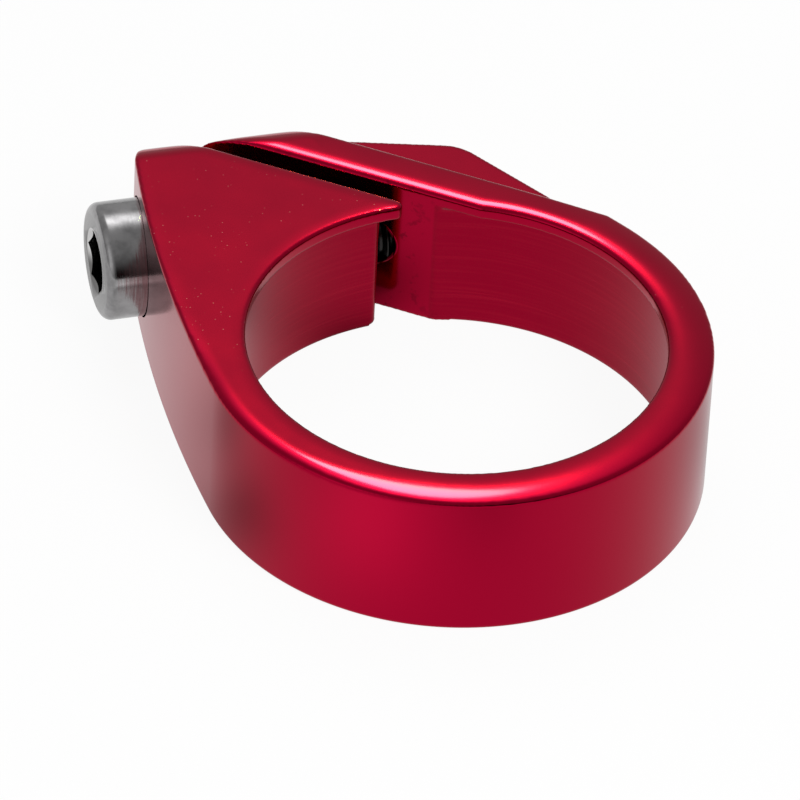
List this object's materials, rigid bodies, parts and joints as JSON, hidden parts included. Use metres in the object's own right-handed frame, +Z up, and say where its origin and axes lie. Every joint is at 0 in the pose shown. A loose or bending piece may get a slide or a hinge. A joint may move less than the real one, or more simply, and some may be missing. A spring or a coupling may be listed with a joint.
{
  "type": "seatpost clamp",
  "caption": "Split seatpost clamp ring with a slanted slot, an inner lip over the tube end and a socket-head screw across the lugs.",
  "frame": {"origin": "on the bore's axis, in the plane of the bottom face", "axes": "+Z up the bore to the lipped end, +X along the screw from head to thread, +Y from the bore to the lugs"},
  "size_m": [0.0392, 0.0449, 0.0115],
  "materials": {
    "red_anodised": "polished, dark red anodised",
    "stainless_steel": "satin"
  },
  "bodies": {
    "collar": {"clamp_collar": "red_anodised"},
    "screw": {"clamp_bolt": "stainless_steel"}
  },
  "joints": [
    {"name": "bolt_turn", "type": "hinge", "parent": "collar", "child": "screw", "pos_m": [0, 0.0201, 0.00575], "axis": [1, 0, 0], "continuous": true}
  ]
}
